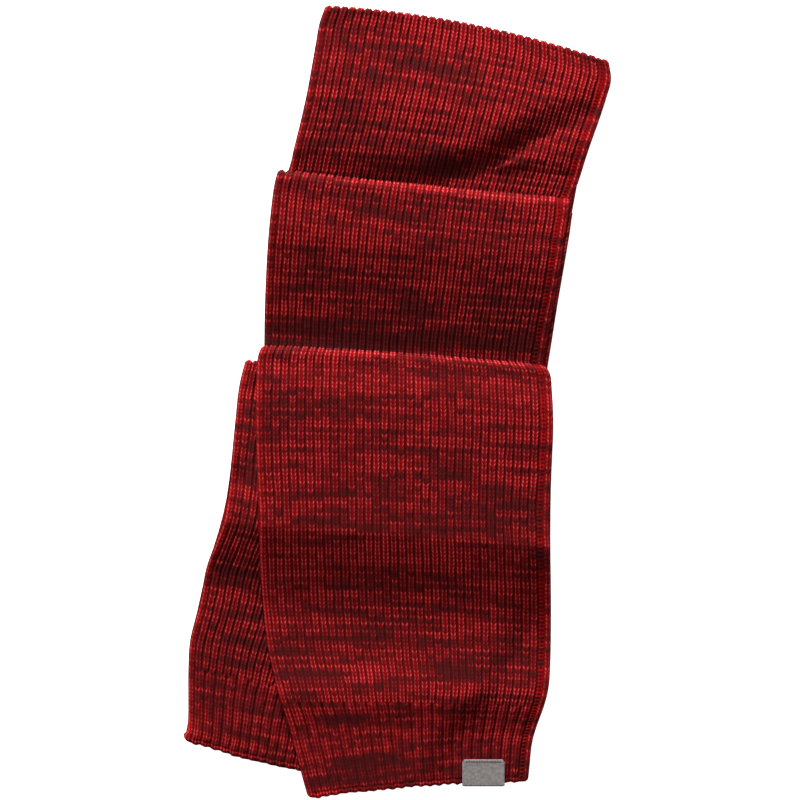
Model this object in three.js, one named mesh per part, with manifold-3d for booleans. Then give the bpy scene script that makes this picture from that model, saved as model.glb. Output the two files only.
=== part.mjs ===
// Ribbed knit scarf, folded end to end so that the cloth lies double, then pleated twice and laid flat.
// Millimetres, +Z up, origin on the floor under the middle of the folded scarf, hems towards -Y.

import * as THREE from "three";
import Module from "manifold-3d";
import { mergeVertices } from "three/addons/utils/BufferGeometryUtils.js";

const wasm = await Module();
wasm.setup();

// Cloth: a plain wall with ribs raised on its outer side
const wallThickness = 2.8;
const ribHeight = 1.2;
const layerThickness = wallThickness + ribHeight;
const clearance = 0.3;
const layerPitch = layerThickness + clearance;

// Folds: a wide one goes round the narrow one of the cloth layer inside it
const wideRadius = 2 * layerPitch - clearance / 2;
const narrowRadius = layerPitch - clearance / 2;
const narrowInset = 15;
const firstPleat = { depth: 150, ramp: 72 };
const secondPleat = { depth: 50, ramp: 75 };
const frontLip = 25;
const backLip = 9;
const middleLip = 25;
const topLip = 15;
const hiddenBehindFold = 27;
const panelPastBackFold = 12;

// Ribs: both counts share one set of columns across the cloth
const bodyRibs = 33;
const hemRibs = 22;
const columnsAcross = 66;
const leftSelvage = 0.026;
const rightSelvage = 0.955;
const hemBandLength = { front: 70, back: 62 };
const bandStep = 3;

// Where one layer steps down from the edge of the layer under it
const dropStart = 6;
const dropLength = 30;
const overhang = { startX: -112.5, length: 14, drop: 6 };

// Label folded round the hem
const label = { leftU: 0.702, rightU: 0.888, length: 21.4, thickness: 0.8, cornerCut: 2.2, columns: 8 };

const colours = { knit: 0x71181b, knitShaded: 0x5d1416, label: 0x867f7d };

// Plan outlines: each row is one line across the cloth, from its left edge to its right edge.
// bow lifts the middle of the line towards +Y. The last row is the fold.
const frontRows = [
  { leftX: -70.8, leftY: -315.0, rightX: 104.1, rightY: -302.7, bow: 2.8 },
  { leftX: -73.9, leftY: -304.3, rightX: 105.3, rightY: -290.8, bow: 2.8 },
  { leftX: -79.5, leftY: -282.9, rightX: 107.6, rightY: -270.2, bow: 2.6 },
  { leftX: -85.8, leftY: -259.1, rightX: 112.4, rightY: -254.4, bow: 2.4 },
  { leftX: -92.2, leftY: -239.3, rightX: 116.4, rightY: -243.3, bow: 2.2 },
  { leftX: -96.9, leftY: -222.6, rightX: 120.3, rightY: -227.4, bow: 2.0 },
  { leftX: -102.5, leftY: -198.8, rightX: 121.9, rightY: -205.2, bow: 2.0 },
  { leftX: -106.9, leftY: -165.5, rightX: 122.3, rightY: -173.5, bow: 2.0 },
  { leftX: -108.8, leftY: -125.9, rightX: 121.5, rightY: -133.8, bow: 2.0 },
  { leftX: -108.8, leftY: -90.2, rightX: 119.9, rightY: -95.8, bow: 2.0 },
  { leftX: -110.8, leftY: -50.6, rightX: 121.5, rightY: -58.5, bow: 2.0 },
  { leftX: -111.6, leftY: -10.9, rightX: 123.1, rightY: -21.2, bow: 2.0 },
  { leftX: -111.2, leftY: 16.9, rightX: 122.3, rightY: 5.7, bow: 2.0 },
  { leftX: -110.0, leftY: 35.1, rightX: 120.7, rightY: 21.6, bow: 2.0 },
  { leftX: -106.5, leftY: 45.0, rightX: 116.4, rightY: 28.7, bow: 2.0 },
];
const backRows = [
  { leftX: -168.7, leftY: -269.4, rightX: 6.1, rightY: -301.1, bow: -7.5 },
  { leftX: -166.7, leftY: -259.1, rightX: 9.3, rightY: -286.1, bow: -6.5 },
  { leftX: -166.3, leftY: -236.9, rightX: 18.8, rightY: -263.1, bow: -5.0 },
  { leftX: -166.3, leftY: -214.7, rightX: 33.9, rightY: -246.4, bow: -3.5 },
  { leftX: -164.7, leftY: -189.3, rightX: 50.6, rightY: -229.0, bow: -2.0 },
  { leftX: -157.2, leftY: -160.8, rightX: 64.0, rightY: -201.2, bow: 0 },
  { leftX: -151.7, leftY: -132.2, rightX: 72.8, rightY: -173.5, bow: 0 },
  { leftX: -144.5, leftY: -113.2, rightX: 77.5, rightY: -155.2, bow: 0 },
  { leftX: -137.4, leftY: -94.2, rightX: 83.9, rightY: -135.4, bow: 0 },
  { leftX: -134.6, leftY: -78.3, rightX: 87.8, rightY: -119.5, bow: 0 },
  { leftX: -131.8, leftY: -50.6, rightX: 93.4, rightY: -87.8, bow: 0 },
  { leftX: -128.7, leftY: -18.8, rightX: 98.1, rightY: -50.6, bow: 0 },
  { leftX: -125.1, leftY: 12.9, rightX: 102.9, rightY: -13.3, bow: 0 },
  { leftX: -119.9, leftY: 33.5, rightX: 106.1, rightY: 12.9, bow: 0 },
];
const middleRows = [
  { leftX: -105.7, leftY: -92.0, rightX: 112.5, rightY: -107.6, bow: 2.0 },
  { leftX: -105.7, leftY: -27.0, rightX: 114.0, rightY: -43.0, bow: 2.0 },
  { leftX: -105.7, leftY: 12.9, rightX: 115.6, rightY: -1.4, bow: 2.0 },
  { leftX: -105.7, leftY: 44.6, rightX: 116.4, rightY: 31.1, bow: 0 },
  { leftX: -105.3, leftY: 68.4, rightX: 120.3, rightY: 56.5, bow: 0 },
  { leftX: -104.1, leftY: 96.2, rightX: 125.1, rightY: 83.5, bow: 0 },
  { leftX: -102.5, leftY: 121.5, rightX: 129.5, rightY: 110.4, bow: -0.5 },
  { leftX: -99.5, leftY: 153.2, rightX: 132.3, rightY: 130.5, bow: -1.3 },
  { leftX: -97.2, leftY: 170.2, rightX: 135.1, rightY: 147.6, bow: -1.3 },
  { leftX: -93.8, leftY: 184.2, rightX: 136.2, rightY: 161.2, bow: -1.3 },
];
const topRows = [
  { leftX: -94.2, leftY: 147.0, rightX: 129.6, rightY: 124.7, bow: -1.3 },
  { leftX: -87.4, leftY: 175.5, rightX: 137.8, rightY: 157.2, bow: 1.5 },
  { leftX: -82.3, leftY: 199.2, rightX: 144.9, rightY: 177.0, bow: 3.0 },
  { leftX: -75.5, leftY: 225.4, rightX: 152.1, rightY: 200.8, bow: 4.5 },
  { leftX: -70.4, leftY: 250.0, rightX: 159.2, rightY: 219.9, bow: 6.0 },
  { leftX: -65.6, leftY: 277.0, rightX: 166.3, rightY: 241.3, bow: 7.5 },
  { leftX: -62.1, leftY: 299.2, rightX: 169.9, rightY: 255.5, bow: 8.1 },
  { leftX: -56.5, leftY: 315.4, rightX: 167.9, rightY: 271.4, bow: 8.1 },
];
// Edges of the hidden layers, just inside the panels on the left and just past them on the right
const hiddenRows = [
  { leftX: -107.0, leftY: -105.0, rightX: 112.0, rightY: -121.0 },
  { leftX: -107.6, leftY: -40.0, rightX: 113.4, rightY: -56.4 },
  { leftX: -107.3, leftY: 5.0, rightX: 118.0, rightY: -9.3 },
  { leftX: -104.1, leftY: 39.1, rightX: 119.5, rightY: 26.4 },
  { leftX: -103.7, leftY: 60.5, rightX: 122.3, rightY: 44.6 },
  { leftX: -103.3, leftY: 88.2, rightX: 127.1, rightY: 77.1 },
  { leftX: -101.3, leftY: 116.0, rightX: 131.8, rightY: 105.7 },
  { leftX: -97.5, leftY: 147.7, rightX: 136.6, rightY: 134.2 },
  { leftX: -91.4, leftY: 167.5, rightX: 137.8, rightY: 143.7 },
  { leftX: -82.0, leftY: 199.2, rightX: 144.0, rightY: 177.0 },
  { leftX: -75.0, leftY: 225.4, rightX: 151.0, rightY: 200.8 },
  { leftX: -69.5, leftY: 250.0, rightX: 158.5, rightY: 219.9 },
  { leftX: -64.5, leftY: 277.0, rightX: 165.5, rightY: 241.3 },
  { leftX: -61.0, leftY: 299.2, rightX: 168.5, rightY: 255.5 },
];

const level = (layersBelow) => layersBelow * layerPitch;

function easeInOut(t) {
  const clamped = THREE.MathUtils.clamp(t, 0, 1);
  return (1 - Math.cos(Math.PI * clamped)) / 2;
}

// A fold as a line y(x), with the bow of its row
function foldLine(row) {
  return (x) => {
    const u = (x - row.leftX) / (row.rightX - row.leftX);
    return row.leftY + u * (row.rightY - row.leftY) + row.bow * 4 * u * (1 - u);
  };
}

const firstFold = foldLine(frontRows.at(-1));
const secondFold = foldLine(middleRows.at(-1));
const topFold = foldLine(topRows.at(-1));
const firstBackFold = (x) => firstFold(x) - firstPleat.depth;
const secondBackFold = (x) => secondFold(x) - secondPleat.depth;

// How high a layer is lifted where it climbs over a hidden back fold, by its distance past that fold
const liftHeight = level(4);
function rampHeight(offset, ramp) {
  return liftHeight * easeInOut((offset + ramp) / (ramp + wideRadius));
}
const firstLift = (x, y) => rampHeight(y - firstBackFold(x), firstPleat.ramp);
const secondLift = (x, y) => rampHeight(y - secondBackFold(x), secondPleat.ramp);

// The top panel swells up between its fold and a hollow line that runs up to the right
const swell = { height: 9.5, rise: 34, foldFade: 78, foldMargin: 4 };
const bulge = { height: 5, startX: 50, widthX: 45, clearOfFold: 18 };
const hollowLine = [
  { x: -105, y: 188 },
  { x: 26, y: 181.8 },
  { x: 73.5, y: 195.3 },
  { x: 109.2, y: 219.1 },
  { x: 170, y: 248 },
];
function hollowAt(x) {
  let next = hollowLine.findIndex((point) => point.x >= x);
  next = THREE.MathUtils.clamp(next, 1, hollowLine.length - 1);
  const before = hollowLine[next - 1];
  const after = hollowLine[next];
  return THREE.MathUtils.lerp(before.y, after.y, (x - before.x) / (after.x - before.x));
}
function topSwell(x, y) {
  const hollow = hollowAt(x);
  const fold = secondFold(x) + bulge.clearOfFold;
  const upper = easeInOut((y - hollow) / swell.rise);
  const towardsFold = easeInOut((topFold(x) - swell.foldMargin - y) / swell.foldFade);
  const across = easeInOut((x - bulge.startX) / bulge.widthX);
  const lower = THREE.MathUtils.clamp((y - fold) / (hollow - fold), 0, 1);
  return swell.height * upper * towardsFold + bulge.height * across * Math.sin(Math.PI * lower);
}

// Edge of a piece as x(y), by straight stretches between its rows
function edgeAt(rows, side, y) {
  const xKey = `${side}X`;
  const yKey = `${side}Y`;
  let upper = rows.findIndex((row) => row[yKey] >= y);
  if (upper === -1) upper = rows.length - 1;
  upper = Math.max(upper, 1);
  const low = rows[upper - 1];
  const high = rows[upper];
  const t = THREE.MathUtils.clamp((y - low[yKey]) / (high[yKey] - low[yKey]), 0, 1);
  return THREE.MathUtils.lerp(low[xKey], high[xKey], t);
}

// Plan of a panel: a point from its place across (u, 0 to 1) and its distance back from the fold
function makePlan(rows) {
  const fromFold = [...rows].reverse();
  const edges = ["left", "right"].map((side) => {
    const points = fromFold.map((row) => new THREE.Vector3(row[`${side}X`], row[`${side}Y`], 0));
    return new THREE.CatmullRomCurve3(points, false, "centripetal");
  });
  const distances = [0];
  for (let i = 1; i < fromFold.length; i += 1) {
    const step = edges.map((edge) => edge.points[i].distanceTo(edge.points[i - 1]));
    distances.push(distances[i - 1] + (step[0] + step[1]) / 2);
  }
  const length = distances.at(-1);

  function at(u, distance) {
    const reach = THREE.MathUtils.clamp(distance, 0, length);
    let next = distances.findIndex((value) => value >= reach);
    next = Math.max(next, 1);
    const part = (reach - distances[next - 1]) / (distances[next] - distances[next - 1]);
    const t = (next - 1 + part) / (fromFold.length - 1);
    const [leftPoint, rightPoint] = edges.map((edge) => edge.getPoint(Math.min(t, 1)));
    const bow = THREE.MathUtils.lerp(fromFold[next - 1].bow, fromFold[next].bow, part);
    return {
      x: THREE.MathUtils.lerp(leftPoint.x, rightPoint.x, u),
      y: THREE.MathUtils.lerp(leftPoint.y, rightPoint.y, u) + bow * 4 * u * (1 - u),
    };
  }
  return { at, length };
}

// Triangles of the strip between two rows of points that run the same way
function zipRows(outerRow, innerRow, triangles) {
  let i = 0;
  let j = 0;
  const lastOuter = outerRow.length - 1;
  const lastInner = innerRow.length - 1;
  while (i < lastOuter || j < lastInner) {
    const outerFirst = (i + 1) / lastOuter <= (j + 1) / lastInner;
    if (j === lastInner || (i < lastOuter && outerFirst)) {
      triangles.push(outerRow[i + 1], outerRow[i], innerRow[j]);
      i += 1;
    } else {
      triangles.push(outerRow[i], innerRow[j], innerRow[j + 1]);
      j += 1;
    }
  }
}

function signedVolume(positions, triangles) {
  const corners = [new THREE.Vector3(), new THREE.Vector3(), new THREE.Vector3()];
  let volume = 0;
  for (let i = 0; i < triangles.length; i += 3) {
    corners.forEach((corner, k) => corner.fromArray(positions, 3 * triangles[i + k]));
    volume += corners[0].dot(corners[1].clone().cross(corners[2])) / 6;
  }
  return volume;
}

function makeGeometry(positions, triangles) {
  const ordered = signedVolume(positions, triangles) > 0 ? triangles : [...triangles].reverse();
  const geometry = new THREE.BufferGeometry();
  geometry.setAttribute("position", new THREE.Float32BufferAttribute(positions, 3));
  geometry.setIndex(ordered);
  geometry.computeVertexNormals();
  return geometry;
}

// A closed wall between an outer and an inner grid of points, with as many rows but fewer columns inside
function wallBetween(outer, inner) {
  const positions = [];
  const triangles = [];
  const addGrid = (grid) => grid.map((row) => row.map((point) => positions.push(...point) / 3 - 1));
  const outerIds = addGrid(outer);
  const innerIds = addGrid(inner);
  const addQuads = (ids, flip) => {
    for (let r = 0; r < ids.length - 1; r += 1) {
      for (let c = 0; c < ids[r].length - 1; c += 1) {
        const quad = [ids[r][c], ids[r][c + 1], ids[r + 1][c + 1], ids[r + 1][c]];
        if (flip) quad.reverse();
        triangles.push(quad[0], quad[1], quad[2], quad[0], quad[2], quad[3]);
      }
    }
  };
  addQuads(outerIds, false);
  addQuads(innerIds, true);
  const border = (ids) => [
    ids[0],
    ids.map((row) => row.at(-1)),
    [...ids.at(-1)].reverse(),
    ids.map((row) => row[0]).reverse(),
  ];
  const innerBorder = border(innerIds);
  border(outerIds).forEach((side, k) => zipRows(side, innerBorder[k], triangles));
  return makeGeometry(positions, triangles);
}

// Places across the cloth: a plain selvage, the ribbed columns, a plain selvage
function ribbedColumns() {
  const columns = [{ u: 0, index: -1 }];
  for (let index = 0; index <= columnsAcross; index += 1) {
    const u = THREE.MathUtils.lerp(leftSelvage, rightSelvage, index / columnsAcross);
    columns.push({ u, index });
  }
  columns.push({ u: 1, index: -1 });
  return columns;
}

// Height of the cloth above its plain inner side, by kind of rib
function clothHeight(kind, index) {
  if (kind === "plain") return layerThickness;
  const perRib = columnsAcross / (kind === "hem" ? hemRibs : bodyRibs);
  const inValley = index === -1 || index % perRib === 0;
  return inValley ? wallThickness : layerThickness;
}

// Distance from the fold at which a panel crosses a line that runs across the cloth
function distanceOnLine(plan, u, line, offset) {
  let near = 0;
  let far = plan.length;
  for (let halving = 0; halving < 20; halving += 1) {
    const between = (near + far) / 2;
    const { x, y } = plan.at(u, between);
    if (y > line(x) + offset) near = between;
    else far = between;
  }
  return (near + far) / 2;
}

// Stations of a panel. Each gives the distance from the fold, the height of the inner side,
// the way to the outer side, and the kind of rib.
function flatStations(distances, innerHeight, kind) {
  return distances.map((distance) => ({
    distanceAt: () => distance,
    innerHeight,
    outward: { distance: 0, z: 1 },
    kind,
  }));
}

// Layers that climb over the same back fold have their ramp stations on the same lines
function rampStations(plan, backFold, ramp, innerHeight) {
  return rampOffsets(ramp).map((offset) => ({
    distanceAt: (u) => distanceOnLine(plan, u, backFold, offset),
    innerHeight,
    outward: { distance: 0, z: 1 },
    kind: "body",
  }));
}

function noseStations(radius, centreHeight, steps, droop) {
  const stations = [];
  const innerRadius = radius - layerThickness;
  for (let step = 0; step <= steps; step += 1) {
    const angle = (Math.PI * step) / steps;
    const along = Math.sin(angle);
    const up = Math.cos(angle);
    stations.push({
      distanceAt: () => radius - innerRadius * along,
      innerHeight: (x, y) => centreHeight + innerRadius * up - droop(x, y),
      outward: { distance: -along, z: up },
      kind: step > steps / 2 ? "plain" : "body",
    });
  }
  return stations;
}

function lipStation(lipLength, innerHeight) {
  return { distanceAt: () => lipLength, innerHeight, outward: { distance: 0, z: -1 }, kind: "plain" };
}

function panelPoint(plan, u, station, height) {
  const { x, y } = plan.at(u, station.distanceAt(u) + height * station.outward.distance);
  return [x, y, station.innerHeight(x, y) + height * station.outward.z];
}

function panelGeometry(plan, stations, columns, innerPlaces) {
  const outer = stations.map((station) =>
    columns.map(({ u, index }) => panelPoint(plan, u, station, clothHeight(station.kind, index))));
  const inner = stations.map((station) => innerPlaces.map((u) => panelPoint(plan, u, station, 0)));
  return wallBetween(outer, inner);
}

// Evenly spaced distances from one place to another, both included
function spread(from, to, step) {
  const count = Math.max(1, Math.round(Math.abs(to - from) / step));
  return Array.from({ length: count + 1 }, (unused, k) => THREE.MathUtils.lerp(from, to, k / count));
}

const noDroop = () => 0;
const coarse = 34;
const hemStep = 18;
const noseSteps = 5;
const rampSteps = 10;
const rampOffsets = (ramp) => spread(-ramp, wideRadius, (ramp + wideRadius) / rampSteps);
const rampFoot = (pleat) => pleat.depth + pleat.ramp;
const rampHead = (pleat) => pleat.depth - wideRadius;
const clearOfRamp = 12;
const swellStep = 15;

// Steps across the cloth, as parts of its width
const plainColumn = 0.1;
const dropColumn = 1 / 16;
const fineColumn = 0.04;
const overhangU = 0.12;
const shownUpTo = 0.6;
const coveredFrom = 0.7;

function frontEndPanel() {
  const plan = makePlan(frontRows);
  const bandEdge = plan.length - hemBandLength.front;
  const innerHeight = (x, y) => {
    const lift = firstLift(x, y);
    const pastBackEdge = x - edgeAt(backRows, "right", y) - dropStart;
    const onFloor = easeInOut(pastBackEdge / dropLength) * (1 - lift / liftHeight);
    return lift + layerPitch * (1 - onFloor);
  };
  const upperStretch = spread(rampHead(firstPleat) - clearOfRamp, wideRadius, coarse).slice(0, -1);
  const stations = [
    ...flatStations(spread(plan.length, bandEdge, hemStep), innerHeight, "hem"),
    ...flatStations(spread(bandEdge - bandStep, rampFoot(firstPleat) + clearOfRamp, coarse), innerHeight, "body"),
    ...rampStations(plan, firstBackFold, firstPleat.ramp, innerHeight),
    ...flatStations(upperStretch, innerHeight, "body"),
    ...noseStations(wideRadius, level(4) - clearance / 2, noseSteps, noDroop),
    lipStation(frontLip, () => level(3) - clearance),
  ];
  return { geometry: panelGeometry(plan, stations, ribbedColumns(), spread(0, 1, dropColumn)), plan, innerHeight };
}

function backEndPanel() {
  const plan = makePlan(backRows);
  const bandEdge = plan.length - hemBandLength.back;
  const droop = (x, y) => {
    const out = (overhang.startX - x) / overhang.length;
    return overhang.drop * easeInOut(out) * (firstLift(x, y) / liftHeight);
  };
  const innerHeight = (x, y) => firstLift(x, y) - droop(x, y);
  const foot = rampFoot(firstPleat) - narrowInset + clearOfRamp;
  const upperStretch = spread(rampHead(firstPleat) - narrowInset - clearOfRamp, narrowRadius, coarse).slice(0, -1);
  const stations = [
    ...flatStations(spread(plan.length, bandEdge, hemStep), innerHeight, "hem"),
    ...flatStations(spread(bandEdge - bandStep, foot, coarse), innerHeight, "body"),
    ...rampStations(plan, firstBackFold, firstPleat.ramp, innerHeight),
    ...flatStations(upperStretch, innerHeight, "body"),
    ...noseStations(narrowRadius, level(4) - clearance / 2, noseSteps, droop),
    lipStation(backLip, (x, y) => level(4) - clearance - droop(x, y)),
  ];
  const shown = ribbedColumns().filter(({ u, index }) => u === 0 || (index >= 0 && u <= shownUpTo));
  const covered = spread(coveredFrom, 1, plainColumn).map((u) => ({ u, index: -1 }));
  const innerPlaces = [...spread(0, overhangU, fineColumn), ...spread(2 * plainColumn, 1, plainColumn)];
  return panelGeometry(plan, stations, [...shown, ...covered], innerPlaces);
}

function middlePanel() {
  const plan = makePlan(middleRows);
  const innerHeight = (x, y) => layerPitch + secondLift(x, y);
  const upperStretch = spread(rampHead(secondPleat) - clearOfRamp, wideRadius, coarse).slice(0, -1);
  const stations = [
    ...flatStations(spread(plan.length, rampFoot(secondPleat) + clearOfRamp, coarse), innerHeight, "body"),
    ...rampStations(plan, secondBackFold, secondPleat.ramp, innerHeight),
    ...flatStations(upperStretch, innerHeight, "body"),
    ...noseStations(wideRadius, level(4) - clearance / 2, noseSteps, noDroop),
    lipStation(middleLip, () => level(3) - clearance),
  ];
  return panelGeometry(plan, stations, ribbedColumns(), spread(0, 1, plainColumn));
}

function topPanel() {
  const plan = makePlan(topRows);
  const innerHeight = (x, y) => layerPitch + topSwell(x, y);
  const stations = [
    ...flatStations(spread(plan.length, narrowRadius, swellStep).slice(0, -1), innerHeight, "body"),
    ...noseStations(narrowRadius, layerPitch - clearance / 2, noseSteps, noDroop),
    lipStation(topLip, () => layerThickness),
  ];
  return panelGeometry(plan, stations, ribbedColumns(), spread(0, 1, plainColumn));
}

// Section of the hidden layers, as points on lines that run across the cloth
const onLine = (line, offset, z) => ({ line, offset, z });

function lineRun(fromLine, fromOffset, toLine, toOffset, z, steps) {
  return Array.from({ length: steps + 1 }, (unused, k) => {
    const t = k / steps;
    const line = (x) => THREE.MathUtils.lerp(fromLine(x) + fromOffset, toLine(x) + toOffset, t);
    return onLine(line, 0, z);
  });
}

function lineArc(line, centreOffset, centreHeight, radius, fromDegrees, toDegrees, steps) {
  return Array.from({ length: steps + 1 }, (unused, k) => {
    const angle = THREE.MathUtils.degToRad(THREE.MathUtils.lerp(fromDegrees, toDegrees, k / steps));
    return onLine(line, centreOffset + radius * Math.cos(angle), centreHeight + radius * Math.sin(angle));
  });
}

function lineRamp(backFold, ramp, offsets, base) {
  return offsets.map((offset) => onLine(backFold, offset, base + rampHeight(offset, ramp)));
}

function hiddenSection() {
  const slot = { start: -50, end: 4, step: 7 };
  const slotAngle = 121.8;
  const returnsBottom = level(2);
  const returnsTop = level(4) - clearance;
  const backNoseCentre = wideRadius;
  const narrowCentre = level(4) - clearance / 2;
  const { ramp } = secondPleat;
  return [
    ...lineRun(firstBackFold, backNoseCentre, secondBackFold, slot.start, 0, 3),
    ...lineRamp(secondBackFold, -slot.start, spread(slot.start, slot.end, slot.step), 0).slice(1),
    ...lineArc(secondBackFold, backNoseCentre, backNoseCentre, wideRadius, slotAngle, 270, 6),
    ...lineRun(secondBackFold, backNoseCentre, topFold, -topLip - clearance, 0, 7).slice(1),
    ...lineRun(topFold, -topLip - clearance, secondBackFold, panelPastBackFold, layerThickness, 7),
    ...lineRun(secondBackFold, panelPastBackFold, secondFold, -hiddenBehindFold, returnsBottom, 2),
    onLine(secondFold, -hiddenBehindFold, level(3)),
    ...lineArc(secondFold, -narrowInset, narrowCentre, narrowRadius, -90, 90, 6),
    ...lineRun(secondFold, -narrowInset, secondBackFold, wideRadius, level(5) - clearance, 2).slice(1),
    ...lineRamp(secondBackFold, ramp, rampOffsets(ramp).reverse(), layerThickness).slice(1),
    ...lineRun(secondBackFold, -ramp, firstBackFold, panelPastBackFold, layerThickness, 3).slice(1),
    ...lineRun(firstBackFold, panelPastBackFold, firstFold, -hiddenBehindFold, returnsBottom, 2),
    ...lineRun(firstFold, -hiddenBehindFold, firstBackFold, backNoseCentre, returnsTop, 2),
    ...lineArc(firstBackFold, backNoseCentre, backNoseCentre, wideRadius, 90, 270, 8).slice(1, -1),
  ];
}

// Place of a section point across the cloth. x follows from y and y from x, so they are worked out in turn.
function placeOnLine({ line, offset, z }, u, inset) {
  let x = 0;
  let y = 0;
  for (let round = 0; round < 6; round += 1) {
    y = line(x) + offset;
    const left = edgeAt(hiddenRows, "left", y) + inset;
    const right = edgeAt(hiddenRows, "right", y) - inset;
    x = THREE.MathUtils.lerp(left, right, u);
  }
  return [x, y, z];
}

// The same section a little smaller, for the rounded ends
function shrunkSection(section, amount) {
  const flat = section.map((point) => new THREE.Vector2(point.line(0) + point.offset, point.z));
  const turn = THREE.ShapeUtils.isClockWise(flat) ? -1 : 1;
  return section.map((point, k) => {
    const before = flat.at(k - 1);
    const after = flat[(k + 1) % flat.length];
    const along = after.clone().sub(before).normalize();
    const inward = new THREE.Vector2(-along.y, along.x).multiplyScalar(turn * amount);
    return onLine(point.line, point.offset + inward.x, point.z + inward.y);
  });
}

function toSolid(geometry) {
  const bare = geometry.clone();
  bare.deleteAttribute("normal");
  const merged = mergeVertices(bare, 1e-4);
  const mesh = new wasm.Mesh({
    numProp: 3,
    vertProperties: new Float32Array(merged.attributes.position.array),
    triVerts: new Uint32Array(merged.index.array),
  });
  return new wasm.Manifold(mesh);
}

function fromSolid(solid) {
  const mesh = solid.getMesh();
  return makeGeometry([...mesh.vertProperties], [...mesh.triVerts]);
}

// A notch between two layers, along one side of the hidden layers
function sideNotch({ side, backFold, fold, end, z }) {
  const depth = 3;
  const mouth = 1.1;
  const sideU = side === "left" ? 0 : 1;
  const away = side === "left" ? 1 : -1;
  const corners = [
    { out: -1, z: mouth },
    { out: -1, z: -mouth },
    { out: depth, z: 0 },
  ];
  const rings = lineRun(backFold, wideRadius, fold, end, z, 3).map((point) =>
    corners.map((corner) => {
      const [x, y] = placeOnLine(point, sideU, 0);
      return [x + away * corner.out, y, z + corner.z];
    }));
  const positions = rings.flat(2);
  const triangles = [];
  for (let r = 0; r < rings.length - 1; r += 1) {
    for (let c = 0; c < 3; c += 1) {
      const a = 3 * r + c;
      const b = 3 * r + ((c + 1) % 3);
      triangles.push(a, b, b + 3, a, b + 3, a + 3);
    }
  }
  const last = 3 * (rings.length - 1);
  triangles.push(0, 2, 1, last, last + 1, last + 2);
  return makeGeometry(positions, triangles);
}

function hiddenLayers() {
  const section = hiddenSection();
  const roundness = 0.8;
  const notchEnd = 20;
  const ends = shrunkSection(section, roundness);
  const stations = [{ points: ends, u: 0, inset: 0 }];
  const across = 8;
  for (let k = 0; k <= across; k += 1) {
    stations.push({ points: section, u: k / across, inset: 1 });
  }
  stations.push({ points: ends, u: 1, inset: 0 });
  const positions = stations.flatMap(({ points, u, inset }) =>
    points.flatMap((point) => placeOnLine(point, u, inset)));
  const count = section.length;
  const triangles = [];
  for (let s = 0; s < stations.length - 1; s += 1) {
    for (let k = 0; k < count; k += 1) {
      const a = s * count + k;
      const b = s * count + ((k + 1) % count);
      triangles.push(a, b, b + count, a, b + count, a + count);
    }
  }
  const outline = ends.map((point) => new THREE.Vector2(point.line(0) + point.offset, point.z));
  const turned = THREE.ShapeUtils.isClockWise(outline);
  const lastStart = (stations.length - 1) * count;
  THREE.ShapeUtils.triangulateShape(outline, []).forEach(([a, b, c]) => {
    const [p, q, r] = turned ? [a, c, b] : [a, b, c];
    triangles.push(p, r, q, lastStart + p, lastStart + q, lastStart + r);
  });
  let solid = toSolid(makeGeometry(positions, triangles));
  const returnsJoin = level(3) - clearance / 2;
  const innerJoin = level(4) - clearance / 2;
  const notches = [
    { backFold: firstBackFold, fold: firstFold, end: -notchEnd, z: returnsJoin },
    { backFold: secondBackFold, fold: secondFold, end: -notchEnd, z: returnsJoin },
    { backFold: secondBackFold, fold: secondFold, end: -narrowInset, z: innerJoin },
  ];
  for (const notch of notches) {
    for (const side of ["left", "right"]) {
      solid = solid.subtract(toSolid(sideNotch({ side, ...notch })));
    }
  }
  return fromSolid(solid);
}

// The label lies on the front panel's hem and folds down over its end
function labelGeometry(front) {
  const { plan, innerHeight } = front;
  const hemDistance = plan.length;
  const topGap = clearance + layerThickness;
  const side = label.columns;
  const stations = [
    { back: label.length, onTop: true },
    { back: label.length / 2, onTop: true },
    { back: 1, onTop: true },
    { back: -clearance, onTop: true },
    { back: -clearance, onTop: false },
  ];
  const pointAt = (column, station, thickness) => {
    const t = column / side;
    const u = THREE.MathUtils.lerp(label.leftU, label.rightU, t);
    const atCorner = column === 0 || column === side;
    const cut = atCorner && station.back === label.length ? label.cornerCut : 0;
    const past = station.back < 0 ? clearance + thickness : 0;
    const { x, y } = plan.at(u, hemDistance - Math.max(station.back - cut, 0));
    const floor = innerHeight(x, y);
    const z = station.onTop ? floor + topGap + thickness : floor + clearance;
    return [x, y - past, z];
  };
  const grid = (thickness) => stations.map((station) =>
    Array.from({ length: side + 1 }, (unused, column) => pointAt(column, station, thickness)));
  return wallBetween(grid(label.thickness), grid(0));
}

const knit = (color) => new THREE.MeshStandardMaterial({ color, roughness: 0.95, metalness: 0 });

function makePart() {
  const front = frontEndPanel();
  const pieces = [
    { name: "front_end_panel", geometry: front.geometry, material: knit(colours.knit) },
    { name: "back_end_panel", geometry: backEndPanel(), material: knit(colours.knitShaded) },
    { name: "middle_panel", geometry: middlePanel(), material: knit(colours.knit) },
    { name: "top_panel", geometry: topPanel(), material: knit(colours.knit) },
    { name: "hidden_layers", geometry: hiddenLayers(), material: knit(colours.knitShaded) },
    {
      name: "label",
      geometry: labelGeometry(front),
      material: new THREE.MeshStandardMaterial({ color: colours.label, roughness: 0.85, metalness: 0 }),
    },
  ];
  const group = new THREE.Group();
  for (const { name, geometry, material } of pieces) {
    const mesh = new THREE.Mesh(geometry, material);
    mesh.name = name;
    group.add(mesh);
  }
  const middle = new THREE.Box3().setFromObject(group).getCenter(new THREE.Vector3());
  group.position.set(-middle.x, -middle.y, 0);
  return group;
}

export default makePart();
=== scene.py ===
# Ribbed knit scarf in marled yarn, folded and laid flat, with its stitches modelled on the folded panels.
import math

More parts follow.
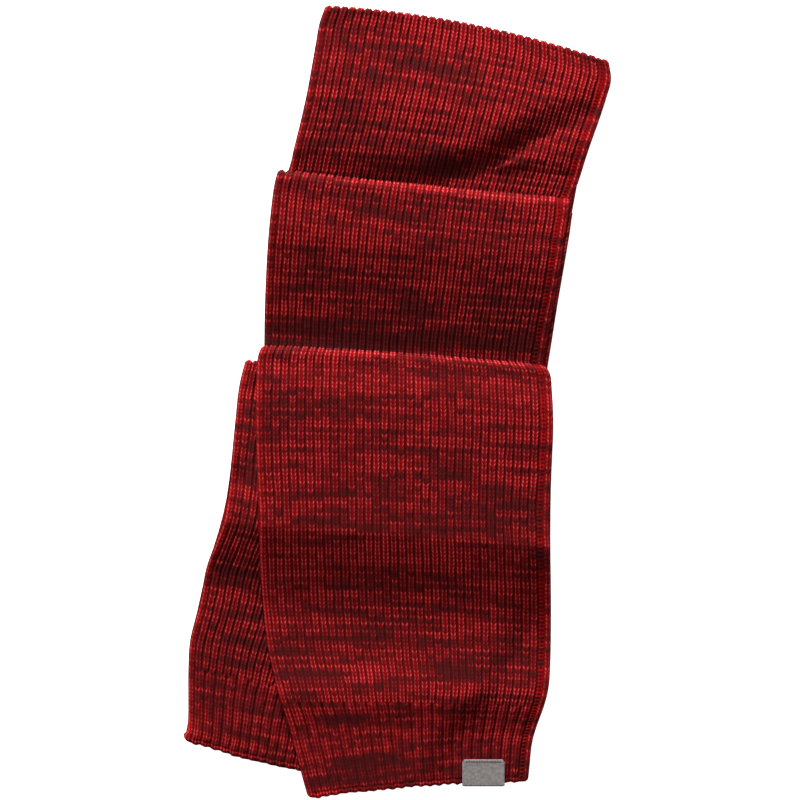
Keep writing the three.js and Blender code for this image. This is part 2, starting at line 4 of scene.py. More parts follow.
import bpy
import numpy as np
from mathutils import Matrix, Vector


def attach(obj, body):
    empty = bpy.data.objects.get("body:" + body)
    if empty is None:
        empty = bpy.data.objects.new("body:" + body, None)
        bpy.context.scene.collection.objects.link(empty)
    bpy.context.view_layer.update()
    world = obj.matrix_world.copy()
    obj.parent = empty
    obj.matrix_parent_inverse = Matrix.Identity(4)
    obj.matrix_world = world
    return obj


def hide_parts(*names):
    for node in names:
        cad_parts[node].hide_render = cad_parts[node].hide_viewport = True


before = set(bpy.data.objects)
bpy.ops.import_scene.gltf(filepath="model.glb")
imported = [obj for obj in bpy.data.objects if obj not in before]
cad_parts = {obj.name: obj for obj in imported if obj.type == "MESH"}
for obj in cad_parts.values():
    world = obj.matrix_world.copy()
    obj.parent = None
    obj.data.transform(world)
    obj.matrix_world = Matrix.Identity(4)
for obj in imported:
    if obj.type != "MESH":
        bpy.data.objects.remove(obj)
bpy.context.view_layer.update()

# Tables are in millimetres. The shift centres the scarf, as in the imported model.
millimetre = 0.001
shiftX, shiftY = -0.6196, -0.1009
pitch = 4.3
clearance = 0.3
wideRadius = 2 * pitch - clearance / 2
narrowRadius = pitch - clearance / 2
narrowInset = 15
liftHeight = 4 * pitch

cloth = {
    "thickness": 4.0, "valley": 1.7, "course": 3.1, "ribs": 33, "hemRibs": 22,
    "leftSelvage": 0.026, "rightSelvage": 0.955, "rowsPerCourse": 3, "edgeRound": 3.0,
    "width": 228, "plainHeight": 3.3, "plainLip": 3.4, "coarseStep": 12.0,
}
# slope: how steep a ramp is from its foot, 0, to its head, 1
firstPleat = {"depth": 150, "ramp": 72, "slope": ((0, 0.3, 0.6, 0.93, 1), (0, 0.6, 1, 1, 0))}
secondPleat = {"depth": 50, "ramp": 86, "slope": ((0, 0.1, 0.85, 1), (0, 1, 1, 0))}


# Shape helpers
def easeInOut(t):
    return (1 - np.cos(np.pi * np.clip(t, 0, 1))) / 2


def bellAt(value, centre, width):
    return np.exp(-((value - centre) / width) ** 2)


def splineAt(points, t):
    # centripetal spline through the points, t from 0 to 1
    last = len(points) - 1
    place = np.clip(t, 0, 1) * last
    k = np.minimum(np.floor(place).astype(int), last - 1)
    w = (place - k)[..., None]
    longer = np.vstack([2 * points[0] - points[1], points, 2 * points[-1] - points[-2]])
    p0, p1, p2, p3 = (longer[k + i] for i in range(4))
    pairs = ((p0, p1), (p1, p2), (p2, p3))
    d0, d1, d2 = (np.sqrt(np.linalg.norm(b - a, axis=-1, keepdims=True)) for a, b in pairs)
    m1 = ((p1 - p0) / d0 - (p2 - p0) / (d0 + d1) + (p2 - p1) / d1) * d1
    m2 = ((p2 - p1) / d1 - (p3 - p1) / (d1 + d2) + (p3 - p2) / d2) * d1
    return p1 + w * (m1 + w * (3 * (p2 - p1) - 2 * m1 - m2 + w * (2 * (p1 - p2) + m1 + m2)))


def edgeDistance(u):
    return np.minimum(u, 1 - u) * cloth["width"]


def roundOver(part):
    # height of a quarter round, from 0 at its foot to 1 at its head
    return np.sqrt(1 - (1 - np.clip(part, 0, 1)) ** 2)


def makePlan(rows):
    # the last row is the fold
    table = np.array(rows[::-1], float)
    left, right, bow = table[:, 0:2], table[:, 2:4], table[:, 4]
    steps = [np.linalg.norm(np.diff(side, axis=0), axis=1) for side in (left, right)]
    distances = np.concatenate([[0], np.cumsum((steps[0] + steps[1]) / 2)])

    def at(u, distance):
        reach = np.clip(distance, 0, distances[-1])
        t = np.interp(reach, distances, np.arange(len(distances))) / (len(distances) - 1)
        a, b = splineAt(left, t), splineAt(right, t)
        lift = np.interp(reach, distances, bow) * 4 * u * (1 - u)
        past = np.maximum(distance - distances[-1], 0)
        x = a[..., 0] + (b[..., 0] - a[..., 0]) * u
        return x, a[..., 1] + (b[..., 1] - a[..., 1]) * u + lift - past

    return {"at": at, "length": distances[-1]}


def foldLine(row):
    def lineAt(x):
        u = (x - row[0]) / (row[2] - row[0])
        return row[1] + u * (row[3] - row[1]) + row[4] * 4 * u * (1 - u)
    return lineAt


# Plan outlines of the panels, from the hem or the covered end to the fold. A row for each section:
# left x, left y, right x, right y, and how far the middle bows up
frontRows = [
    (-70.8, -315.0, 104.1, -302.7, 2.8), (-73.9, -304.3, 105.3, -290.8, 2.8),
    (-79.5, -282.9, 107.6, -270.2, 2.6), (-85.8, -259.1, 112.4, -254.4, 2.4),
    (-92.2, -239.3, 116.4, -243.3, 2.2), (-96.9, -222.6, 120.3, -227.4, 2.0),
    (-102.5, -198.8, 121.9, -205.2, 2.0), (-106.9, -165.5, 122.3, -173.5, 2.0),
    (-108.8, -125.9, 121.5, -133.8, 2.0), (-108.8, -90.2, 119.9, -95.8, 2.0),
    (-110.8, -50.6, 121.5, -58.5, 2.0), (-111.6, -10.9, 123.1, -21.2, 2.0),
    (-111.2, 16.9, 122.3, 5.7, 2.0), (-110.0, 35.1, 120.7, 21.6, 2.0),
    (-106.5, 45.0, 116.4, 28.7, 2.0),
]
backRows = [
    (-168.7, -269.4, 6.1, -301.1, -7.5), (-166.7, -259.1, 9.3, -286.1, -6.5),
    (-166.3, -236.9, 18.8, -263.1, -5.0), (-166.3, -214.7, 33.9, -246.4, -3.5),
    (-164.7, -189.3, 50.6, -229.0, -2.0), (-157.2, -160.8, 64.0, -201.2, 0),
    (-151.7, -132.2, 72.8, -173.5, 0), (-144.5, -113.2, 77.5, -155.2, 0),
    (-137.4, -94.2, 83.9, -135.4, 0), (-134.6, -78.3, 87.8, -119.5, 0),
    (-131.8, -50.6, 93.4, -87.8, 0), (-128.7, -18.8, 98.1, -50.6, 0),
    (-125.1, 12.9, 102.9, -13.3, 0), (-119.9, 33.5, 106.1, 12.9, 0),
]
middleRows = [
    (-105.7, -92.0, 112.5, -107.6, 2.0), (-105.7, -27.0, 114.0, -43.0, 2.0),
    (-105.7, 12.9, 115.6, -1.4, 2.0), (-105.7, 44.6, 116.4, 31.1, 0),
    (-105.3, 68.4, 120.3, 56.5, 0), (-104.1, 96.2, 125.1, 83.5, 0),
    (-102.5, 121.5, 129.5, 110.4, -0.5), (-99.5, 153.2, 132.3, 130.5, -1.3),
    (-97.2, 170.2, 135.1, 147.6, -1.3), (-93.8, 184.2, 136.2, 161.2, -1.3),
]
topRows = [
    (-94.2, 147.0, 129.6, 124.7, -1.3), (-87.4, 175.5, 137.8, 157.2, 1.5),
    (-82.3, 199.2, 144.9, 177.0, 3.0), (-75.5, 225.4, 152.1, 200.8, 4.5),
    (-70.4, 250.0, 159.2, 219.9, 6.0), (-65.6, 277.0, 166.3, 241.3, 7.5),
    (-62.1, 299.2, 169.9, 255.5, 8.1), (-56.5, 315.4, 167.9, 271.4, 8.1),
]
hiddenRows = np.array([
    (-107.0, -105.0, 112.0, -121.0), (-107.6, -40.0, 113.4, -56.4), (-107.3, 5.0, 118.0, -9.3),
    (-104.1, 39.1, 119.5, 26.4), (-103.7, 60.5, 122.3, 44.6), (-103.3, 88.2, 127.1, 77.1),
    (-101.3, 116.0, 131.8, 105.7), (-97.5, 147.7, 136.6, 134.2), (-91.4, 167.5, 137.8, 143.7),
    (-82.0, 199.2, 144.0, 177.0), (-75.0, 225.4, 151.0, 200.8), (-69.5, 250.0, 158.5, 219.9),
    (-64.5, 277.0, 165.5, 241.3), (-61.0, 299.2, 168.5, 255.5),
])
frontPlan, backPlan, middlePlan, topPlan = map(makePlan, (frontRows, backRows, middleRows, topRows))

firstFold, secondFold, topFold = (foldLine(rows[-1]) for rows in (frontRows, middleRows, topRows))


def firstBackFold(x):
    return firstFold(x) - firstPleat["depth"]


def secondBackFold(x):
    return secondFold(x) - secondPleat["depth"]


# How far a layer is lifted where it climbs over a hidden back fold, by its distance past that fold
def rampHeight(offset, pleat, shorter=0):
    places = np.linspace(0, 1, 201)
    climbed = np.cumsum(np.interp(places, *pleat["slope"]))
    ramp = pleat["ramp"] - shorter
    return liftHeight * np.interp((offset + ramp) / (ramp + wideRadius), places, climbed / climbed[-1])


def firstLift(x, y):
    return rampHeight(y - firstBackFold(x), firstPleat)


def secondLift(x, y):
    return rampHeight(y - secondBackFold(x), secondPleat)


# Random values that repeat from run to run
rng = np.random.default_rng(7)
noiseTable = rng.uniform(-1, 1, (256, 256))


def smoothNoise(x, y):
    # value noise, one cell for each unit
    i, j = np.floor(x).astype(int), np.floor(y).astype(int)
    fx, fy = easeInOut(x - i), easeInOut(y - j)

    def corner(right, up):
        return noiseTable[(i + right) % 256, (j + up) % 256]

    low = corner(0, 0) * (1 - fx) + corner(1, 0) * fx
    high = corner(0, 1) * (1 - fx) + corner(1, 1) * fx
    return low * (1 - fy) + high * fy


# Places across the cloth: its left selvage, the ribbed columns and its right selvage
def clothColumns(places, finePart=1.0):
    left = cloth["leftSelvage"] * np.array([0, 0.05, 0.17, 0.36, 0.58, 0.79])
    ribs = (np.arange(cloth["ribs"])[:, None] + np.array(places)[None, :]).ravel() / cloth["ribs"]
    body = cloth["leftSelvage"] + (cloth["rightSelvage"] - cloth["leftSelvage"]) * np.append(ribs, 1)
    parts = np.array([0.11, 0.22, 0.34, 0.46, 0.58, 0.69, 0.8, 0.9, 0.97, 1.0])
    right = cloth["rightSelvage"] + (1 - cloth["rightSelvage"]) * parts
    u = np.concatenate([left, body, right])
    if finePart < 1:
        kept = len(left) + int(finePart * cloth["ribs"]) * len(places) + 1
        u = np.concatenate([u[:kept], np.linspace(u[kept - 1], 1, 14)[1:]])
    return u


# A stitch of the body: two slanting legs beside each other, with a softer core between them
bodyStitch = {
    "legPlace": 0.25, "legLean": 0.08, "legWidth": 0.105, "slant": 2.2,
    "core": 0.45, "coreOnFold": 0.35, "coreStart": 0.2, "coreFade": 0.22, "ends": 0.3,
}
# A rib of the hem: a flat top of three strokes, and the bind-off chain along its end
hemStitch = {
    "top": 0.22, "side": 0.24, "strokes": 3, "strokeDepth": 0.2, "slant": 3.3, "ends": 0.5,
    "chainPlace": 2.4, "chainWidth": 1.0, "chainBase": 0.15, "chainRise": 0.5,
    "chainTurns": 2.5, "chainLean": 0.4,
    "groovePlace": 4.0, "grooveWidth": 0.8, "grooveDepth": 0.4,
}
# The selvages: one edge wale on the left, and a purl column with an edge wale on the right
selvage = {
    "wale": 0.9, "leftEnds": 0.7, "rightEnds": 0.72, "lean": 1.2, "taper": 0.9,
    "purl": 0.62, "purlShare": 0.44,
}
legsAcross = 2 * cloth["ribs"]
edgeHeight = 1.6


def bodyRelief(wale, course, onFold):
    across = np.abs(wale % 1 - 0.5)
    slant = (course - bodyStitch["slant"] * across) % 1
    legPlace = bodyStitch["legPlace"] + bodyStitch["legLean"] * (slant - 0.5)
    leg = bellAt(across, legPlace, bodyStitch["legWidth"])
    core = bodyStitch["core"] + bodyStitch["coreOnFold"] * onFold
    core = core * (1 - easeInOut((across - bodyStitch["coreStart"]) / bodyStitch["coreFade"]))
    swelling = bodyStitch["ends"] + (1 - bodyStitch["ends"]) * np.sin(np.pi * slant) ** 0.8
    return core + (1 - core) * leg * swelling


def hemRelief(hemRib, course, s):
    across = np.abs(hemRib % 1 - 0.5)
    plateau = np.cos(np.pi / 2 * np.clip((across - hemStitch["top"]) / hemStitch["side"], 0, 1))
    strokeDepth = hemStitch["strokeDepth"]
    strokes = 1 - strokeDepth + strokeDepth * np.cos(2 * hemStitch["strokes"] * np.pi * across)
    slant = (course - hemStitch["slant"] * np.abs((hemStitch["strokes"] * hemRib / 2) % 1 - 0.5)) % 1
    ends = hemStitch["ends"]
    rib = plateau * strokes * (ends + (1 - ends) * np.sin(np.pi * slant) ** 0.8)
    link = (hemStitch["chainTurns"] * hemRib + hemStitch["chainLean"] * s) % 1
    chain = bellAt(s, hemStitch["chainPlace"], hemStitch["chainWidth"])
    chain = chain * (hemStitch["chainBase"] + hemStitch["chainRise"] * np.sin(np.pi * link))
    groove = hemStitch["grooveDepth"] * bellAt(s, hemStitch["groovePlace"], hemStitch["grooveWidth"])
    return np.maximum(rib * (1 - groove), chain)


def leftSelvageRelief(part, course):
    ends = selvage["leftEnds"]
    swelling = ends + (1 - ends) * np.sin(np.pi * ((course + part) % 1))
    return selvage["wale"] * np.sin(np.pi * part) ** 0.7 * swelling


def rightSelvageRelief(part, course):
    share, ends = selvage["purlShare"], selvage["rightEnds"]
    acrossPurl = np.sin(np.pi * np.clip(part / share, 0, 1)) ** 0.4
    purl = selvage["purl"] * np.sin(np.pi * (course % 1)) ** 0.7 * acrossPurl
    edgePart = np.clip((part - share) / (1 - share), 0, 1)
    edgeWale = np.sin(np.pi * np.clip(edgePart * selvage["taper"], 0, 1)) ** 0.6
    edgeWale = edgeWale * (ends + (1 - ends) * np.sin(np.pi * ((course - selvage["lean"] * edgePart) % 1)))
    return np.where(part < share, purl, edgeWale * selvage["wale"])


# Relief of the knit: height above the plain inner side, and the stitch places that the yarn's colour follows
def knitRelief(u, s, inHem, onFold, finePart, seed):
    leftEnd, rightStart = cloth["leftSelvage"], cloth["rightSelvage"]
    wale = np.clip((u - leftEnd) / (rightStart - leftEnd), 0, 1) * cloth["ribs"]
    hemRib = wale * cloth["hemRibs"] / cloth["ribs"]
    course = s / cloth["course"]
    leftPart = np.clip(u / leftEnd, 0, 1)
    rightPart = np.clip((u - rightStart) / (1 - rightStart), 0, 1)

    relief = bodyRelief(wale, course, onFold) * (1 - inHem) + hemRelief(hemRib, course, s) * inHem
    relief = np.where(u < leftEnd, leftSelvageRelief(leftPart, course), relief)
    relief = np.where(u > rightStart, rightSelvageRelief(rightPart, course), relief)
    legs = 2 * wale * (1 - inHem) + hemStitch["strokes"] * hemRib * inHem
    legs = np.where(u < leftEnd, -2 + 2 * leftPart, legs)
    legs = np.where(u > rightStart, legsAcross + 4 * rightPart, legs)

    # each stitch differs a little from its neighbours
    relief = relief * (1 + 0.1 * smoothNoise(2 * wale + seed, course + 3 * seed))
    height = cloth["valley"] + (cloth["thickness"] - cloth["valley"]) * np.clip(relief, 0, 1.06)
    height = np.where(u > finePart, cloth["plainHeight"], height)
    height = edgeHeight + (height - edgeHeight) * roundOver(edgeDistance(u) / cloth["edgeRound"])
    return height, legs, course, np.clip(1 - relief, 0, 1)


# Stations of a panel: places along the cloth, from its hem or covered end, over its fold, to its lip
def panelStations(panel):
    radius, far = panel["radius"], panel["plan"]["length"]
    step = cloth["course"] / cloth["rowsPerCourse"]
    fine = panel.get("fineFrom", far)
    coarse = np.arange(far, fine, -cloth["coarseStep"])
    flat = np.linspace(fine, radius, int(round((fine - radius) / step)) + 1)
    flat = np.concatenate([coarse, flat])
    flat = flat[np.concatenate([[True], np.diff(flat) < -0.01])][:-1]
    bend = math.pi * (radius - 1)
    bendStart = far - radius
    angles = np.linspace(0, math.pi, int(round(bend / step)) + 1)
    core = radius - cloth["thickness"]
    lip = np.linspace(radius, panel["lip"], 4)[1:]
    level, flatLevel, lipLevel = 0 * angles, 0 * flat, 0 * lip
    columns = {
        "distance": (flat, radius - core * np.sin(angles), lip),
        "along": (flatLevel, -np.sin(angles), lipLevel),
        "up": (flatLevel + 1, np.cos(angles), lipLevel - 1),
        "isFlat": (flatLevel + 1, level, lipLevel),
        "height": (flatLevel, panel["noseCentre"] + core * np.cos(angles), lipLevel + panel["lipHeight"]),
        "along cloth": (far - flat, bendStart + bend * angles / math.pi, bendStart + bend + lip - radius),
        "plain": (flatLevel, np.clip((angles / math.pi - 0.72) * 8, 0, 1), lipLevel + 1),
    }
    return {key: np.concatenate(parts) for key, parts in columns.items()}


def loopOf(ids):
    return [ids[0], ids[:, -1], ids[-1][::-1], ids[:, 0][::-1]]


def zipRows(outerRow, innerRow):
    # triangles of the strip between two rows of points, with each corner's place along the strip
    i = j = 0
    lastOuter, lastInner = len(outerRow) - 1, len(innerRow) - 1
    faces, places = [], []
    while i < lastOuter or j < lastInner:
        if j == lastInner or (i < lastOuter and (i + 1) / lastOuter <= (j + 1) / lastInner):
            faces.append((outerRow[i + 1], outerRow[i], innerRow[j]))
            places.append(((i + 1) / lastOuter, 1, i / lastOuter, 1, j / lastInner, 0))
            i += 1
        else:
            faces.append((outerRow[i], innerRow[j], innerRow[j + 1]))
            places.append((i / lastOuter, 1, j / lastInner, 0, (j + 1) / lastInner, 0))
            j += 1
    return faces, places


def gridFaces(ids, flip):
    quads = np.stack([ids[:-1, :-1], ids[:-1, 1:], ids[1:, 1:], ids[1:, :-1]], axis=-1).reshape(-1, 4)
    return quads[:, ::-1] if flip else quads


# A closed wall from an outer and an inner grid of points, with its stitch coordinates and a texture map
def addWall(mesh, outer, inner, outerCloth, innerCloth, tile):
    base = sum(len(part) for part in mesh["points"])
    outerIds = base + np.arange(outer[..., 0].size).reshape(outer.shape[:2])
    innerIds = outerIds[-1, -1] + 1 + np.arange(inner[..., 0].size).reshape(inner.shape[:2])
    mesh["points"] += [outer.reshape(-1, 3), inner.reshape(-1, 3)]
    mesh["cloth"] += [outerCloth.reshape(-1, 3), innerCloth.reshape(-1, 3)]
    left, bottom, width, height = tile

    def gridMap(ids, low, high):
        rows, columns = ids.shape
        across = left + width * np.linspace(0.01, 0.99, columns)
        up = bottom + height * np.linspace(low, high, rows)
        return np.stack(np.broadcast_arrays(across[None, :], up[:, None]), axis=-1).reshape(-1, 2)

    for ids, flip, low, high in ((outerIds, False, 0.14, 0.99), (innerIds, True, 0.05, 0.12)):
        faces = gridFaces(ids, flip)
        places = gridMap(ids, low, high)
        mesh["faces"] += faces.tolist()
        mesh["map"].append(places[(faces - ids[0, 0]).ravel()])
    for k, (outerSide, innerSide) in enumerate(zip(loopOf(outerIds), loopOf(innerIds))):
        faces, places = zipRows(outerSide, innerSide)
        mesh["faces"] += [tuple(int(v) for v in face) for face in faces]
        places = np.array(places).reshape(-1, 2)
        across = left + width * (0.01 + 0.245 * k + 0.23 * places[:, 0])
        mesh["map"].append(np.stack([across, bottom + height * (0.01 + 0.02 * places[:, 1])], axis=-1))


# A closed tube from its sections, each a closed loop of points
def addTube(mesh, sections, tile):
    base = sum(len(part) for part in mesh["points"])
    count, around = sections.shape[0], sections.shape[1] - 1
    ids = base + np.arange(count * around).reshape(count, around)
    mesh["points"].append(sections[:, :-1].reshape(-1, 3))
    mesh["cloth"].append(np.zeros((count * around, 3)))
    left, bottom, width, height = tile
    for i in range(count - 1):
        for j in range(around):
            after = (j + 1) % around
            mesh["faces"].append((ids[i, j], ids[i, after], ids[i + 1, after], ids[i + 1, j]))
            corners = np.array(((i, j), (i, j + 1), (i + 1, j + 1), (i + 1, j)))
            along = left + width * (0.1 + 0.8 * corners[:, 0] / (count - 1))
            up = bottom + height * (0.2 + 0.7 * corners[:, 1] / around)
            mesh["map"].append(np.stack([along, up], axis=-1))
    for end, order, middle in ((0, -1, 0.25), (count - 1, 1, 0.75)):
        mesh["faces"].append(tuple(int(v) for v in ids[end][::order]))
        turn = np.linspace(0, 2 * np.pi, around, endpoint=False)[::order]
        along = left + middle * width + 0.1 * width * np.cos(turn)
        mesh["map"].append(np.stack([along, bottom + height * (0.1 + 0.05 * np.sin(turn))], axis=-1))


def newMesh():
    return {"points": [], "cloth": [], "faces": [], "map": []}


def makePiece(name, mesh, material):
    data = bpy.data.meshes.new(name)
    points = np.concatenate(mesh["points"]) + np.array([shiftX, shiftY, 0])
    data.from_pydata((points * millimetre).tolist(), [], mesh["faces"])
    stitches = data.attributes.new("cloth", "FLOAT_VECTOR", "POINT")
    stitches.data.foreach_set("vector", np.concatenate(mesh["cloth"]).ravel())
    if "toneAndPaintedShade" in mesh:
        data.attributes.new("toneAndPaintedShade", "FLOAT", "POINT").data.foreach_set("value", mesh["toneAndPaintedShade"])
    data.uv_layers.new(name="OFBake").data.foreach_set("uv", np.concatenate(mesh["map"]).ravel())
    data.shade_smooth()
    data.materials.append(material)
    piece = bpy.data.objects.new(name, data)
    bpy.context.scene.collection.objects.link(piece)
    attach(piece, "root")
    return piece


# Nodes of a material, joined as they are made
def nodeMaker(material):
    tree = material.node_tree
    tree.nodes.clear()

    def add(kind, inputs=None, **settings):
        node = tree.nodes.new(kind)
        for key, value in settings.items():
            setattr(node, key, value)
        for key, value in (inputs or {}).items():
            if isinstance(value, bpy.types.NodeSocket):
                tree.links.new(value, node.inputs[key])
            else:
                node.inputs[key].default_value = value
        return node

    def maths(operation, *values, clamp=False):
        inputs = dict(enumerate(values))
        return add("ShaderNodeMath", inputs, operation=operation, use_clamp=clamp).outputs[0]

    return add, maths


# Colours from dark yarn, 0, to bright yarn, 1: on the legs, between them and deep in the valleys. These are
# only partly the yarn's own colour: the legs carry a painted highlight, pinker with painted sheen, and the
# grooves and valleys carry painted shade.
yarnColoursLitAndShaded = {
    "litCrest": ((0.0, (0.078, 0.013, 0.014)), (0.4, (0.2, 0.03, 0.033)), (1.0, (0.53, 0.085, 0.09))),
    "groove": ((0.0, (0.06, 0.0045, 0.005)), (0.5, (0.14, 0.001, 0.002)), (1.0, (0.23, 0.0005, 0.001))),
    "shadedDeep": ((0.0, (0.05, 0.004, 0.0045)), (1.0, (0.09, 0.0004, 0.0008))),
}


# How strongly each thing changes the share of bright yarn, and how ragged the ends of its runs are
marl = {"runs": 1.5, "rows": 2.6, "waves": 1.2, "single": 0.6, "usual": 0.6, "ragged": 1.6}


def knitMaterial(name, seed):
    material = bpy.data.materials.new(name)
    material.use_nodes = True
    add, maths = nodeMaker(material)
    clothPlace = add("ShaderNodeAttribute", attribute_name="cloth").outputs["Vector"]
    stitch = add("ShaderNodeSeparateXYZ", {"Vector": clothPlace})
    legs, course, sunk = (stitch.outputs[k] for k in range(3))
    waleAcross = maths("MULTIPLY", legs, 0.5)
    wale = maths("FLOOR", waleAcross)
    fromWale = maths("ABSOLUTE", maths("SUBTRACT", maths("FRACT", waleAcross), 0.5))
    slanted = maths("SUBTRACT", course, maths("MULTIPLY", fromWale, bodyStitch["slant"]))
    loop = maths("FLOOR", slanted)
    ragged = add("ShaderNodeTexWhiteNoise", {"W": maths("ADD", wale, seed)}, noise_dimensions="1D")
    stepped = maths("MULTIPLY_ADD", ragged.outputs["Value"], marl["ragged"], loop)

    def noiseAt(along, perWale, perCourse, shift, detail=1.0):
        across = maths("MULTIPLY_ADD", wale, perWale, seed + shift)
        up = maths("MULTIPLY", along, perCourse)
        place = add("ShaderNodeCombineXYZ", {0: across, 1: up, 2: shift})
        noise = add("ShaderNodeTexNoise", {"Vector": place.outputs[0], "Scale": 1.0, "Detail": detail})
        return noise.outputs[0]

    def weighted(value, weight):
        return maths("MULTIPLY", maths("SUBTRACT", value, 0.5), weight)

    # share of bright yarn: runs of stitches, rows of the same yarn, broad waves and single stitches
    stitchPlace = add("ShaderNodeCombineXYZ", {0: wale, 1: loop, 2: seed})
    single = add("ShaderNodeTexWhiteNoise", {"Vector": stitchPlace.outputs[0]}, noise_dimensions="3D")
    # this attribute carries painted shade and painted light as well as uneven yarn
    toneAndPaintedShade = add("ShaderNodeAttribute", attribute_name="toneAndPaintedShade").outputs["Fac"]
    runs = weighted(noiseAt(stepped, 0.24, 0.42, 3.1, 2.0), marl["runs"])
    mix = maths("ADD", runs, weighted(noiseAt(loop, 0.08, 0.98, 7.7), marl["rows"]))
    mix = maths("ADD", mix, weighted(noiseAt(loop, 0.04, 0.1, 11.0), marl["waves"]))
    mix = maths("ADD", mix, weighted(single.outputs["Value"], marl["single"]))
    mix = maths("ADD", mix, toneAndPaintedShade)
    mix = maths("ADD", mix, marl["usual"], clamp=True)

    def yarn(stops):
        ramp = add("ShaderNodeValToRGB", {0: mix})
        elements = ramp.color_ramp.elements
        while len(elements) < len(stops):
            elements.new(0.5)
        for element, (place, colour) in zip(elements, stops):
            element.position = place
            element.color = (*colour, 1)
        return ramp.outputs[0]

    litCrest, groove, shadedDeep = (yarn(yarnColoursLitAndShaded[key]) for key in ("litCrest", "groove", "shadedDeep"))
    # painted light and shade: the colour follows the relief, lighter and pinker on the raised legs, darker
    # where the cloth is sunk
    fromLeg = maths("ABSOLUTE", maths("SUBTRACT", maths("FRACT", legs), 0.5))
    onLeg = maths("SUBTRACT", 1.2, maths("MULTIPLY", fromLeg, 4.0), clamp=True)
    raised = maths("SUBTRACT", 1.15, maths("MULTIPLY", sunk, 1.35), clamp=True)
    # one stitch's slanted leg ends where the next begins
    fromJoin = maths("SUBTRACT", 0.5, maths("ABSOLUTE", maths("SUBTRACT", maths("FRACT", slanted), 0.5)))
    inStitch = maths("MULTIPLY_ADD", fromJoin, 2.8, -0.1, clamp=True)
    litLegShare = maths("MULTIPLY", maths("MULTIPLY", onLeg, raised), inStitch)
    # painted shade deep in the valleys between the wales
    valley = maths("MULTIPLY", maths("SUBTRACT", sunk, 0.62), 3.0, clamp=True)
    colour = add("ShaderNodeMix", {0: litLegShare, 6: groove, 7: litCrest}, data_type="RGBA").outputs[2]
    colour = add("ShaderNodeMix", {0: valley, 6: colour, 7: shadedDeep}, data_type="RGBA").outputs[2]

    place = add("ShaderNodeTexCoord").outputs["Object"]
    fibres = add("ShaderNodeTexNoise", {"Vector": place, "Scale": 1500.0, "Detail": 3.0, "Roughness": 0.6})
    bump = add("ShaderNodeBump", {"Height": fibres.outputs[0], "Strength": 0.5, "Distance": 0.0005})
    shader = add("ShaderNodeBsdfPrincipled", {
        "Base Color": colour, "Roughness": 0.95, "Normal": bump.outputs[0], "Sheen Weight": 0.02,
        "Sheen Roughness": 0.5, "Sheen Tint": (1, 0.15, 0.15, 1), "Specular IOR Level": 0.04})
    add("ShaderNodeOutputMaterial", {"Surface": shader.outputs[0]})
    return material


knit = knitMaterial("marled knit", 1.0)

# What the panels lie on: steps, ridges and swells of the layers below
drop = {"start": 6, "length": 30}
overhang = {"startX": -112.5, "length": 14, "drop": 6}
hemRidge = {"height": 4, "y": -233, "width": 21}
puff = {"height": 2.5, "y": -5, "width": 48, "foldFade": 25}
backStrip = {
    "shorterRamp": 16, "dip": 2.5, "dipY": -62, "dipWidth": 13,
    "curl": 4, "curlX": -167, "curlY": -268, "curlWidth": 11,
}
swell = {
    "height": 9.5, "rise": 31, "foldFade": 78, "foldMargin": 4,
    "lowerPart": 0.45, "lowX": -50, "lowWidth": 120,
}
bulge = {"height": 3, "startX": 50, "widthX": 45, "clearOfFold": 18}
hollow = {"x": (-105, 26, 73.5, 109.2, 170), "y": (178, 169, 182, 206, 236)}


def backRightEdge(y):
    rows = np.array(backRows)
    return np.interp(y, rows[:, 3], rows[:, 2])


def frontFloor(x, y):
    lift = firstLift(x, y)
    onFloor = easeInOut((x - backRightEdge(y) - drop["start"]) / drop["length"]) * (1 - lift / liftHeight)
    ridge = hemRidge["height"] * bellAt(y, hemRidge["y"], hemRidge["width"])
    fromFold = np.clip((firstFold(x) - y - wideRadius) / puff["foldFade"], 0, 1)
    puffed = puff["height"] * bellAt(y, puff["y"], puff["width"]) * easeInOut(fromFold)
    return lift + pitch * (1 - onFloor) + ridge + puffed


def backDroop(x, y):
    out = easeInOut((overhang["startX"] - x) / overhang["length"])
    return overhang["drop"] * out * firstLift(x, y) / liftHeight


def backFloor(x, y):
    out = easeInOut((overhang["startX"] - x) / overhang["length"])
    lift = rampHeight(y - firstBackFold(x), firstPleat, backStrip["shorterRamp"] * out)
    dip = backStrip["dip"] * out * bellAt(y, backStrip["dipY"], backStrip["dipWidth"])
    reach = np.hypot(x - backStrip["curlX"], y - backStrip["curlY"])
    curl = backStrip["curl"] * bellAt(reach, 0, backStrip["curlWidth"])
    return lift * (1 - overhang["drop"] * out / liftHeight) - dip + curl


def middleFloor(x, y):
    return pitch + secondLift(x, y)


def topFloor(x, y):
    hollowLine = np.interp(x, hollow["x"], hollow["y"])
    fold = secondFold(x) + bulge["clearOfFold"]
    upper = easeInOut((y - hollowLine) / swell["rise"])
    towardsFold = easeInOut((topFold(x) - swell["foldMargin"] - y) / swell["foldFade"])
    across = easeInOut((x - bulge["startX"]) / bulge["widthX"])
    lower = np.clip((y - fold) / np.maximum(hollowLine - fold, 1), 0, 1)
    clear = np.clip((y - secondFold(x) + 6) / 8, 0, 1)
    highness = 1 - swell["lowerPart"] * (1 - easeInOut((x - swell["lowX"]) / swell["lowWidth"]))
    raised = swell["height"] * highness * upper * towardsFold
    return pitch + clear * (raised + bulge["height"] * across * np.sin(np.pi * lower))
